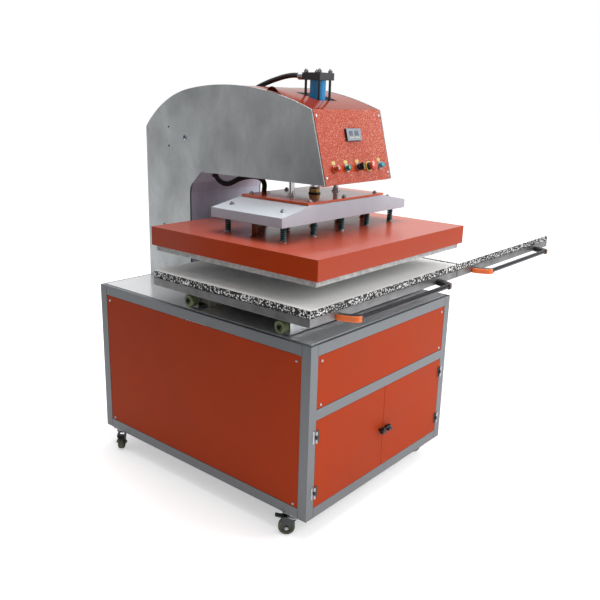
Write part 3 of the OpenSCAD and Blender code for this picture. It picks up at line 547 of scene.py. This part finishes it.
LOWER = [
    (0, 434, 537), (0, 455, 537), (0, 500, 538), (-1, 560, 540), (-4, 630, 543), (-9, 700, 546),
    (-16, 770, 546), (-23, 830, 540), (-29, 880, 524), (-33, 922, 494), (-35, 953, 452),
    (-35, 972, 400), (-35, 981, 340), (-35, 986, 270), (-35, 989, 190), (-35, 990, 100),
    (-35, 990, 0), (-35, 986, -60), (-35, 974, -110), (-35, 952, -150), (-35, 925, -178),
    (-35, 896, -197), (-35, 866, -206), (-35, 838, -206)]

line, length = smooth_path(cabinet_points(CONDUIT), 0.001)
bm = bmesh.new()
tube(bm, line, [0.0102 + 0.0007 * math.cos(2 * math.pi * i / 4.0) for i in range(len(line))], 20)
conduit = from_bm("conduit_corrugated", bm, None, M["black"], 60)
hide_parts("heater_conduit")
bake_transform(conduit)

for name, rows in (("hose_upper", UPPER), ("hose_lower", LOWER)):
    line, length = smooth_path(cabinet_points(rows), 0.006)
    bm = bmesh.new()
    tube(bm, line, 0.0099, 20)
    hose = from_bm(name, bm, "cabinet_and_head", M["hose"], 60)
    if name == "hose_upper":
        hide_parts("hydraulic_hoses")
    # brass nipple with a hexagon, then the crimped ferrule
    start, ahead = line[0], (line[3] - line[0]).normalized()
    bm = bmesh.new()
    lathe(bm, [(0.0105, -0.001), (0.0105, 0.004)], start, ahead, 24)
    lathe(bm, [(0.0150, 0.004), (0.0158, 0.005), (0.0158, 0.015), (0.0150, 0.016)], start, ahead, 6)
    nipple = from_bm(name + "_nipple", bm, "cabinet_and_head", M["brass"])
    bm = bmesh.new()
    prof = [(0.0102, 0.016), (0.0128, 0.0175), (0.0132, 0.020)]
    for k in range(5):
        z = 0.022 + 0.0052 * k
        prof += [(0.0132, z), (0.0124, z + 0.0012), (0.0124, z + 0.0028), (0.0132, z + 0.004)]
    prof += [(0.0132, 0.0500), (0.0126, 0.0520), (0.0101, 0.0525)]
    lathe(bm, prof, start, ahead, 28)
    ferrule = from_bm(name + "_ferrule", bm, "cabinet_and_head", M["zinc"])

# ------------------------------------------------------------------ pads and sheets

pad_lo, pad_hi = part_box("pads")
PITCH = 1.005                           # from one platen to the next
for k in (0, 1):
    x0 = pad_lo[0] + k * PITCH
    x1, y0, y1 = x0 + 1.0, pad_lo[1], pad_hi[1]
    z0, z1 = pad_lo[2], pad_hi[2] - 0.0016
    bm = bmesh.new()
    nx, ny, nz = 250, 200, 8
    ring = ([(x0 + (x1 - x0) * i / nx, y0, 0, -1) for i in range(nx)]
            + [(x1, y0 + (y1 - y0) * i / ny, 1, 0) for i in range(ny)]
            + [(x1 - (x1 - x0) * i / nx, y1, 0, 1) for i in range(nx)]
            + [(x0, y1 - (y1 - y0) * i / ny, -1, 0) for i in range(ny)])
    rows = []
    for j in range(nz + 1):
        z = z0 + (z1 - z0) * j / nz
        lip = 0.0012 if j in (0, nz) else 0.0
        row = []
        for x, y, ax, ay in ring:
            at = Vector((x, y, z))
            g = noise.noise(at * 190.0) + 0.5 * noise.noise(at * 420.0)
            into = max(0.0002, 0.0011 + 0.0009 * g + lip)
            # rounded shoulder where the two pads face each other
            soft = 0.0085 * max(0.0, j / nz - 0.6) ** 2 / 0.16
            left, right = (0.0, soft) if k == 0 else (soft, 0.0)
            cx = max(x0 + into + left, min(x1 - into - right, x - ax * into))
            cy = max(y0 + into, min(y1 - into, y - ay * into))
            row.append(bm.verts.new((cx, cy, z)))
        rows.append(row)
    n = len(ring)
    for a, b in zip(rows, rows[1:]):
        for i in range(n):
            j = (i + 1) % n
            bm.faces.new((a[i], a[j], b[j], b[i]))
    bm.faces.new(rows[-1])
    bm.faces.new(rows[0][::-1])
    pad = from_bm("foam_pad_%d" % (k + 1), bm, "shuttle", M["granules"], 180)
    if k == 0:
        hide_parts("pads")
    # the white cover sheet, laid on the foam and slightly rippled
    bm = bmesh.new()
    gx, gy = 80, 64
    top, low = {}, {}
    for i in range(gx + 1):
        for j in range(gy + 1):
            x = x0 + 0.0006 + 0.0078 * k + (x1 - x0 - 0.0090) * i / gx
            y = y0 + 0.0006 + (y1 - y0 - 0.0012) * j / gy
            e = min(i, j, gx - i, gy - j)
            w = 0.00022 * noise.noise(Vector((x * 9, y * 9, k * 3.0)))
            z = pad_hi[2] - 0.0004 + (w if e else -0.0002)
            top[i, j] = bm.verts.new((x, y, z))
            low[i, j] = bm.verts.new((x, y, z - 0.0009))
    for i in range(gx):
        for j in range(gy):
            bm.faces.new((top[i, j], top[i + 1, j], top[i + 1, j + 1], top[i, j + 1]))
            bm.faces.new((low[i, j], low[i, j + 1], low[i + 1, j + 1], low[i + 1, j]))
    edge = ([(i, 0) for i in range(gx)] + [(gx, j) for j in range(gy)]
            + [(i, gy) for i in range(gx, 0, -1)] + [(0, j) for j in range(gy, 0, -1)])
    for a, b in zip(edge, edge[1:] + edge[:1]):
        bm.faces.new((low[a], low[b], top[b], top[a]))
    cloth = from_bm("cover_sheet_%d" % (k + 1), bm, "shuttle", M["cloth"], 60)

# ------------------------------------------------------------------ springs and pillars

PY = -0.204                             # the press axis behind the middle of the cabinet
SPRING_PITCH, SPRING_SIDE, COIL_R = 0.1725, 0.140, 0.012
lo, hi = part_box("springs")
bm = bmesh.new()
turns, wire = 8.5, 0.0029
for i in range(-2, 3):
    for s in (-1, 1):
        cx, cy = i * SPRING_PITCH, PY + s * SPRING_SIDE
        line = []
        steps = int(turns * 22)
        for q in range(steps + 1):
            a = 2 * math.pi * turns * q / steps + i
            f = q / steps
            f -= 0.035 * math.sin(2 * math.pi * f)
            line.append(Vector((cx + (COIL_R - wire) * math.cos(a),
                                cy + (COIL_R - wire) * math.sin(a),
                                lo[2] + wire + (hi[2] - lo[2] - 2 * wire) * f)))
        tube(bm, line, wire, 8)
coils = from_bm("spring_coils", bm, "upper_platen", M["spring"], 60)
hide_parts("springs")

bm = bmesh.new()
cover_top = 1.0634                      # top face of the heater cover
for i in range(-2, 3):
    lathe(bm, [(0.0112, cover_top + 0.002), (0.0112, lo[2] + 0.004), (0.0119, lo[2] + 0.006),
               (0.0119, hi[2] - 0.008), (0.0112, hi[2] - 0.006), (0.0112, hi[2] - 0.0005)],
          (i * SPRING_PITCH, PY, 0), (0, 0, 1), 28)
    lathe(bm, [(0.017, cover_top + 0.0002), (0.017, cover_top + 0.003),
               (0.0115, cover_top + 0.0035)], (i * SPRING_PITCH, PY, 0), (0, 0, 1), 28)
from_bm("middle_pillars", bm, "upper_platen", M["pillar"])

bm = bmesh.new()
lathe(bm, [(0.0188, 1.1953), (0.0241, 1.1953), (0.0243, 1.1958), (0.0243, 1.2000), (0.0238, 1.2006),
           (0.0188, 1.2007)], (0, PY, 0), (0, 0, 1), 40)
lathe(bm, [(0.0162, 1.2153), (0.0182, 1.2153), (0.0190, 1.2160), (0.0190, 1.2210), (0.0184, 1.2218),
           (0.0162, 1.2218)], (0, PY, 0), (0, 0, 1), 40)
from_bm("nut_flange", bm, "upper_platen", M["black_paint"])

# bright nuts and stud ends on the cylinder's upper block
bm = bmesh.new()
z = TABLE + 0.899
for x in (-0.033, 0.033):
    for y in (-0.033, 0.033):
        lathe(bm, [(0.0089, z + 0.0002), (0.0091, z + 0.0010), (0.0091, z + 0.0078),
                   (0.0084, z + 0.0092), (0.0047, z + 0.0092)], (x, PY + y, 0), (0, 0, 1), 6)
        lathe(bm, [(0.0047, z + 0.0091), (0.0047, z + 0.0132), (0.0040, z + 0.0141),
                   (0.0, z + 0.0142)], (x, PY + y, 0), (0, 0, 1), 16)
from_bm("tie_rod_nuts", bm, "cabinet_and_head", M["zinc"])

# the conduit's black gland on the heater cover
bm = bmesh.new()
gx, gy = -0.066, 0.012
lathe(bm, [(0.0200, cover_top + 0.0001), (0.0205, cover_top + 0.001), (0.0205, cover_top + 0.010),
           (0.0176, cover_top + 0.0105)], (gx, gy, 0), (0, 0, 1), 6)
prof = [(0.0176, cover_top + 0.010), (0.0176, cover_top + 0.017), (0.0160, cover_top + 0.019),
        (0.0152, cover_top + 0.030), (0.0138, cover_top + 0.0342), (0.0117, cover_top + 0.0345)]
lathe(bm, prof, (gx, gy, 0), (0, 0, 1), 28)
from_bm("heater_gland", bm, "upper_platen", M["black"])

# ------------------------------------------------------------------ handles

bar_lo, bar_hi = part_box("handle_bars")
GY, GZ = (bar_lo[1] + bar_hi[1]) / 2, (bar_lo[2] + bar_hi[2]) / 2
ARM = [(328, 65), (357, 65), (356, 52), (352, 40), (346, 25), (338, 6), (332, -5), (324, -11),
       (312, -12.5), (302, -12.5), (299, -7), (299, 8), (306, 20), (316, 34), (323, 46), (326, 56)]
for k in (0, 1):
    for s in (-1, 1):
        bm = bmesh.new()
        low = [bm.verts.new(((k * PITCH) + s * x * MM, GY + y * MM, GZ - 0.012)) for x, y in ARM]
        high = [bm.verts.new(((k * PITCH) + s * x * MM, GY + y * MM, GZ + 0.011)) for x, y in ARM]
        for i in range(len(ARM)):
            j = (i + 1) % len(ARM)
            bm.faces.new((low[i], low[j], high[j], high[i]))
        bm.faces.new(low)
        bm.faces.new(high)
        bmesh.ops.recalc_face_normals(bm, faces=bm.faces)
        rim = [e for e in bm.edges if abs(e.verts[0].co.z - e.verts[1].co.z) < 1e-6
               and not (e.verts[0].co.y > GY + 0.0645 and e.verts[1].co.y > GY + 0.0645)]
        bmesh.ops.bevel(bm, geom=rim, offset=0.0045, segments=4, affect="EDGES", profile=0.5)
        for f in bm.faces:
            c = f.calc_center_median()
            out = (c.x - k * PITCH) * s
            nose = c.y < GY + 0.004 and f.normal.y < -0.2 and out > 0.317
            outer = f.normal.x * s > 0.30 or nose
            f.material_index = 0 if outer else 1
        arm = from_bm("handle_arm_%d_%s" % (k + 1, "lr"[s > 0]), bm, "shuttle",
                      [M["bracket"], M["black"]], 50)
        if k == 0 and s < 0:
            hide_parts("handle_brackets")

# ------------------------------------------------------------------ control panel

TILT = math.atan2(263.4, 72.0)
P = Matrix.Translation((0, FRONT + 0.171, TABLE + 0.503)) @ Matrix.Rotation(TILT, 4, "X")
NORMAL = (P.to_3x3() @ Vector((0, 0, 1))).normalized()


def on_panel(x, y, z):
    return P @ Vector((x * MM, y * MM, z * MM))


def pill(bm, x0, x1, y, r, z0, z1, n=20):
    pts = [(x1 + r * math.cos(a), y + r * math.sin(a))
           for a in [math.pi * (i / n - 0.5) for i in range(n + 1)]]
    pts += [(x0 - r * math.cos(a), y - r * math.sin(a))
            for a in [math.pi * (i / n - 0.5) for i in range(n + 1)]]
    a = [bm.verts.new(on_panel(px, py, z0)) for px, py in pts]
    b = [bm.verts.new(on_panel(px, py, z1)) for px, py in pts]
    for i in range(len(pts)):
        j = (i + 1) % len(pts)
        bm.faces.new((a[i], a[j], b[j], b[i]))
    bm.faces.new(a)
    bm.faces.new(b)


bm = bmesh.new()
pill(bm, -156, 158, 55, 13, 2.05, 2.5)
from_bm("button_band", bm, "cabinet_and_head", M["pill"])

STOP_AT = on_panel(72.5, 56, 2.0)
bm = bmesh.new()
for x in (-145, -72.5, 0, 145):
    pill(bm, x - 4.5, x + 4.0, 78.5, 7.0, 2.05, 2.6)
from_bm("legend_discs", bm, "cabinet_and_head", M["legend"])
bm = bmesh.new()
lathe(bm, [(0.0180, 0.0002), (0.0196, 0.0006), (0.0200, 0.0016), (0.0192, 0.0024), (0.0152, 0.0024),
           (0.0152, 0.0002)], STOP_AT, NORMAL, 40)
from_bm("stop_ring", bm, "cabinet_and_head", M["yellow"])
bm = bmesh.new()
lathe(bm, [(0.0112, 0.0084), (0.0138, 0.0084), (0.0147, 0.0078), (0.0150, 0.0066), (0.0150, 0.0006),
           (0.0147, 0.0002)], STOP_AT, NORMAL, 40)
from_bm("stop_sleeve", bm, "cabinet_and_head", M["black"])

# the panel meter's front: two windows and their keys
bm = bmesh.new()
for x0, x1 in ((-31, -8), (2, 28)):
    round_box(bm, (x0 * MM, 173.5 * MM, 10.9 * MM), (x1 * MM, 191.5 * MM, 11.5 * MM), 0.0003, 1, P)
from_bm("meter_windows", bm, "cabinet_and_head", M["window"])
bm = bmesh.new()
for x0 in (-29, -20.5, -12, 7, 15.5, 24):
    round_box(bm, (x0 * MM, 163.5 * MM, 10.9 * MM), ((x0 + 6) * MM, 168.5 * MM, 12.0 * MM),
              0.0004, 2, P)
from_bm("meter_keys", bm, "cabinet_and_head", M["cream"])
bm = bmesh.new()
for x0, x1, y0, y1 in ((-45.5, 45.5, 155.0, 155.6), (-45.5, 45.5, 200.4, 201.0),
                       (-45.5, -44.9, 155.6, 200.4), (44.9, 45.5, 155.6, 200.4)):
    round_box(bm, (x0 * MM, y0 * MM, 2.05 * MM), (x1 * MM, y1 * MM, 10.4 * MM), 0.0002, 1, P)
from_bm("meter_rim", bm, "cabinet_and_head", M["black"])

# pointer line on the selector
bm = bmesh.new()
round_box(bm, (-0.7 * MM, 44 * MM, 32.9 * MM), (0.7 * MM, 68 * MM, 33.3 * MM), 0.0001, 1, P)
from_bm("selector_line", bm, "selector", M["cream"])

# ------------------------------------------------------------------ top cover flap

R_CREST, CREST = 1.225, Vector((0, FRONT + 0.680, TABLE - 0.378))


def on_crest(x, y_front, lift=0.0):
    dy = FRONT + y_front * MM - CREST.y
    z = CREST.z + math.sqrt((R_CREST + lift) ** 2 - dy * dy)
    return Vector((x * MM, FRONT + y_front * MM, z))


bm = bmesh.new()
grid = []
for i in range(9):
    row = []
    for j in range(13):
        y = 402 + 60 * j / 12
        curl = (i / 8) ** 2
        x = -209.0 + 14 * (1 - i / 8) - 2.0 * curl
        lift = 0.0004 + 0.020 * curl * math.sin(math.pi * j / 12) ** 0.7
        row.append(bm.verts.new(on_crest(x, y, lift)))
    grid.append(row)
for a, b in zip(grid, grid[1:]):
    for j in range(12):
        bm.faces.new((a[j], a[j + 1], b[j + 1], b[j]))
bmesh.ops.solidify(bm, geom=bm.faces[:], thickness=0.0012)
from_bm("cover_flap", bm, "cabinet_and_head", M["gloss_orange"], 60)

# ------------------------------------------------------------------ buffers, knobs, table details

lo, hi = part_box("end_buffers")
BUF_Y = (PY - 0.2365, PY + 0.2365)
BUF_Z = TABLE + 0.005 + 0.030
bm = bmesh.new()
for y in BUF_Y:
    for s, x in ((-1, lo[0]), (1, hi[0])):
        lathe(bm, [(0.0, -0.0065), (0.0138, -0.0065), (0.0138, -0.0042), (0.0125, -0.0038),
                   (0.0125, -0.0062), (0.0078, -0.0062), (0.0078, -0.0004), (0.0066, 0.0),
                   (0.0, 0.0)], (x, y, BUF_Z), (s, 0, 0), 28)
from_bm("buffer_hubs", bm, "shuttle", M["iron"])

# curved latch arms between the two door knobs
KNOB_Z = 0.296
for s, body in ((-1, "left_door"), (1, "right_door")):
    pts = [Vector((s * 0.0200, FRONT - 0.0215, KNOB_Z + 0.004)),
           Vector((s * 0.0150, FRONT - 0.0250, KNOB_Z + 0.012)),
           Vector((s * 0.0080, FRONT - 0.0265, KNOB_Z + 0.016)),
           Vector((s * 0.0012, FRONT - 0.0270, KNOB_Z + 0.0172))]
    line, _ = smooth_path(pts, 0.0012)
    bm = bmesh.new()
    tube(bm, line, 0.0032, 12)
    from_bm("latch_arm_" + body, bm, body, M["black"], 60)
    bm = bmesh.new()
    for a in (90, 210, 330):
        c = Vector((s * 0.021 + s * 0.008 * math.cos(math.radians(a)), FRONT - 0.0239,
                    KNOB_Z + 0.008 * math.sin(math.radians(a))))
        lathe(bm, [(0.0, 0.0020), (0.0030, 0.0018), (0.0058, 0.0009), (0.0072, -0.0008),
                   (0.0076, -0.003), (0.0, -0.003)], c, (0, -1, 0), 24)
    from_bm("knob_face_" + body, bm, body, M["black"], 60)

# weld lines where the square tubes meet
bm = bmesh.new()
X, T, WELD = 0.476, 0.040, 0.0011        # half the frame's width, the tube's side, half a weld
for sx in (-1, 1):
    for z0, z1 in ((0.090, 0.130), (TABLE - T, TABLE)):
        x, low, high = sx * (X - T), z0 + 0.001, z1 - 0.001
        round_box(bm, (x - WELD, FRONT - 0.0003, low), (x + WELD, FRONT + 0.0008, high), 0.0002, 1)
        for y in (FRONT + T, -FRONT - T):
            round_box(bm, (sx * X - 0.0005, y - WELD, low), (sx * X + 0.0005, y + WELD, high),
                      0.0002, 1)
from_bm("weld_lines", bm, "cabinet_and_head", M["seam"])

# ------------------------------------------------------------------ casters

CASTERS = {"front_left": (-0.448, -0.517, -50), "front_right": (0.448, -0.517, -28),
           "rear_left": (-0.448, 0.517, 40), "rear_right": (0.448, 0.517, 62)}
for name, (x, y, a) in CASTERS.items():
    at = Matrix.Translation((x, y, 0)) @ Matrix.Rotation(math.radians(a), 4, "Z")
    axle = at @ Vector((-0.028, 0, 0.0315))
    side = at.to_3x3() @ Vector((0, 1, 0))
    bm = bmesh.new()
    for s in (-1, 1):
        lathe(bm, [(0.0, 0.0186), (0.0045, 0.0186), (0.0075, 0.0195), (0.0075, 0.0225),
                   (0.0060, 0.0238), (0.0, 0.0240)], axle, side * s, 6)
    from_bm("axle_nuts_" + name, bm, "caster_" + name, M["zinc"])
    bm = bmesh.new()
    lathe(bm, [(0.0200, 0.0778), (0.0262, 0.0778), (0.0266, 0.0768), (0.0266, 0.0735),
               (0.0255, 0.0728), (0.0248, 0.0728), (0.0248, 0.0770), (0.0200, 0.0770)],
          at.translation, (0, 0, 1), 36)
    from_bm("race_ring_" + name, bm, "caster_" + name, M["zinc"])

# ------------------------------------------------------------------ floor and light

bpy.ops.mesh.primitive_plane_add(size=60, location=(0, 0, 0))
floor = bpy.context.object
floor.name = "floor"
m, t, b = shader("studio_floor")
t.links.new(ramp(t, tex_noise(t, coords(t), 1.5, 2),
                 [(0, (0.86, 0.86, 0.865)), (1, (0.90, 0.90, 0.90))]), b.inputs["Base Color"])
b.inputs["Roughness"].default_value = 0.75
b.inputs["Specular IOR Level"].default_value = 0.2
b.inputs["Emission Color"].default_value = (1, 1, 1, 1)
seen = t.nodes.new("ShaderNodeLightPath")
t.links.new(span(t, seen.outputs["Is Camera Ray"], 0.12, 0.46, 0, 1), b.inputs["Emission Strength"])
floor.data.materials.append(m)

world = bpy.data.worlds.new("studio")
bpy.context.scene.world = world
world.use_nodes = True
wt = world.node_tree
bg = wt.nodes["Background"]
# a studio brighter above, behind and to the right than at the left; the backdrop itself is white
wc = wt.nodes.new("ShaderNodeTexCoord")
dot = wt.nodes.new("ShaderNodeVectorMath")
dot.operation = "DOT_PRODUCT"
dot.inputs[1].default_value = (0.48, 0.28, 0.83)
wt.links.new(wc.outputs["Generated"], dot.inputs[0])
level = ramp(wt, span(wt, dot.outputs["Value"], 0, 1, -1, 1),
             [(0.0, 0.10), (0.45, 0.24), (0.70, 0.60), (1.0, 0.95)])
path = wt.nodes.new("ShaderNodeLightPath")
wt.links.new(mixed(wt, path.outputs["Is Camera Ray"], level, (1.0, 1.0, 1.0)), bg.inputs["Color"])
bg.inputs["Strength"].default_value = 1.0


def softbox(name, place, target, size, power):
    d = bpy.data.lights.new(name, "AREA")
    d.shape, d.size, d.size_y = "RECTANGLE", size[0], size[1]
    d.energy = power
    o = bpy.data.objects.new(name, d)
    bpy.context.collection.objects.link(o)
    aim = (Vector(place) - Vector(target)).to_track_quat("Z", "Y")
    o.matrix_world = Matrix.Translation(place) @ aim.to_matrix().to_4x4()


softbox("key", (2.6, -4.2, 3.4), (0.2, -0.2, 0.8), (2.6, 2.6), 160)
softbox("top", (0.4, -0.2, 4.6), (0.2, 0.0, 1.0), (3.4, 2.2), 145)

# a dark flag that keeps the left side in its own shade, as in the photo, unseen by the camera
bpy.ops.mesh.primitive_plane_add(size=1, location=(-1.55, 0.25, 0.75),
                                 rotation=(0, math.pi / 2, 0))
flag = bpy.context.object
flag.name = "flag"
flag.scale = (1.05, 1.7, 1)
m, t, b = shader("flag_cloth")
t.links.new(ramp(t, tex_noise(t, coords(t), 5, 2),
                 [(0, (0.03, 0.03, 0.03)), (1, (0.05, 0.05, 0.05))]), b.inputs["Base Color"])
b.inputs["Roughness"].default_value = 0.9
flag.data.materials.append(m)
flag.visible_camera = False
